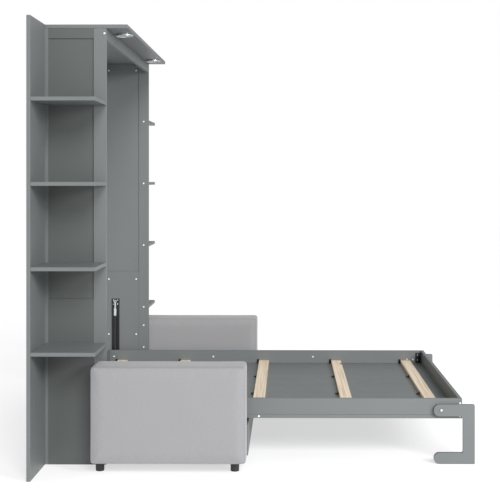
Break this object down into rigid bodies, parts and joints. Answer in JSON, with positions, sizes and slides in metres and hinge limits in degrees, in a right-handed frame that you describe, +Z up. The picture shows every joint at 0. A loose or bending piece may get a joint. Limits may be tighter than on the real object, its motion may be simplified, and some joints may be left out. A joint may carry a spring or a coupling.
{
  "type": "murphy wall bed",
  "caption": "Wall bed that folds down from a cabinet between two side shelf units, over a low upholstered seat, with gas struts and swinging legs at its foot.",
  "frame": {"origin": "on the floor, at the middle of the object's box with the bed down", "axes": "+X from the wall to the foot of the bed, +Y across the bed, +Z up"},
  "size_m": [2.215, 2.3, 2.2477],
  "materials": {
    "painted_board": "satin grey paint on boards",
    "pine": "planed and bare",
    "upholstery": "light grey woven cloth",
    "black_steel": "black powder coat",
    "bright_steel": "zinc plated",
    "lamp_ring": "satin",
    "lamp_lens": "frosted diffuser",
    "black_plastic": "moulded"
  },
  "bodies": {
    "cabinet": {"back_rail_bottom": "painted_board", "back_rail_top": "painted_board", "canopy_board": "painted_board", "foot_left_back": "black_plastic", "foot_left_front": "black_plastic", "foot_right_back": "black_plastic", "foot_right_front": "black_plastic", "header_rail": "painted_board", "lamp_lens_left": "lamp_lens", "lamp_lens_right": "lamp_lens", "lamp_ring_left": "lamp_ring", "lamp_ring_right": "lamp_ring", "pivot_pin_left": "bright_steel", "pivot_pin_right": "bright_steel", "seat_arm_left": "upholstery", "seat_arm_right": "upholstery", "seat_back_rail": "painted_board", "seat_deck": "painted_board", "seat_front_rail": "painted_board", "shelf_back_left": "painted_board", "shelf_back_right": "painted_board", "shelf_left_1": "painted_board", "shelf_left_2": "painted_board", "shelf_left_3": "painted_board", "shelf_left_4": "painted_board", "shelf_right_1": "painted_board", "shelf_right_2": "painted_board", "shelf_right_3": "painted_board", "shelf_right_4": "painted_board", "side_panel_left": "painted_board", "side_panel_right": "painted_board", "stile_left": "painted_board", "stile_right": "painted_board", "strut_plate_left": "black_steel", "strut_plate_right": "black_steel"},
    "bed_platform": {"bed_rail_left": "painted_board", "bed_rail_right": "painted_board", "floor_panel_1": "painted_board", "floor_panel_2": "painted_board", "floor_panel_3": "painted_board", "foot_rail": "painted_board", "head_rail": "painted_board", "leg_bolt_left": "bright_steel", "leg_bolt_right": "bright_steel", "pivot_bracket_left": "black_steel", "pivot_bracket_right": "black_steel", "slat_1": "pine", "slat_2": "pine", "slat_3": "pine", "slat_4": "pine", "slat_5": "pine", "strut_lug_left": "black_steel", "strut_lug_right": "black_steel"},
    "leg_left": {"leg_left": "painted_board"},
    "strut_rod_left": {"strut_rod_left": "bright_steel"},
    "strut_tube_left": {"strut_tube_left": "black_steel"},
    "leg_right": {"leg_right": "painted_board"},
    "strut_rod_right": {"strut_rod_right": "bright_steel"},
    "strut_tube_right": {"strut_tube_right": "black_steel"}
  },
  "joints": [
    {"name": "bed_fold", "type": "hinge", "parent": "cabinet", "child": "bed_platform", "pos_m": [-0.8015, 0, 0.255], "axis": [0, -1, 0], "range_deg": [0, 90]},
    {"name": "leg_left_fold", "type": "hinge", "parent": "bed_platform", "child": "leg_left", "pos_m": [0.9365, -0.7965, 0.274], "axis": [0, 1, 0], "range_deg": [0, 90]},
    {"name": "strut_left_swing", "type": "hinge", "parent": "cabinet", "child": "strut_rod_left", "pos_m": [-0.9955, -0.7995, 0.65], "axis": [0, -1, 0], "range_deg": [0, 16.46]},
    {"name": "strut_left_stroke", "type": "slide", "parent": "strut_rod_left", "child": "strut_tube_left", "axis": [0, 0, -1], "range_m": [0, 0.2392]},
    {"name": "leg_right_fold", "type": "hinge", "parent": "bed_platform", "child": "leg_right", "pos_m": [0.9365, 0.7965, 0.274], "axis": [0, 1, 0], "range_deg": [0, 90]},
    {"name": "strut_right_swing", "type": "hinge", "parent": "cabinet", "child": "strut_rod_right", "pos_m": [-0.9955, 0.7995, 0.65], "axis": [0, -1, 0], "range_deg": [0, 16.46]},
    {"name": "strut_right_stroke", "type": "slide", "parent": "strut_rod_right", "child": "strut_tube_right", "axis": [0, 0, -1], "range_m": [0, 0.2392]}
  ],
  "couplings": [
    {"joint": "strut_left_swing", "follows": "bed_fold", "ratio": 0.18287},
    {"joint": "strut_left_stroke", "follows": "bed_fold", "m_per_rad": 0.15226},
    {"joint": "strut_right_swing", "follows": "bed_fold", "ratio": 0.18287},
    {"joint": "strut_right_stroke", "follows": "bed_fold", "m_per_rad": 0.15226}
  ]
}
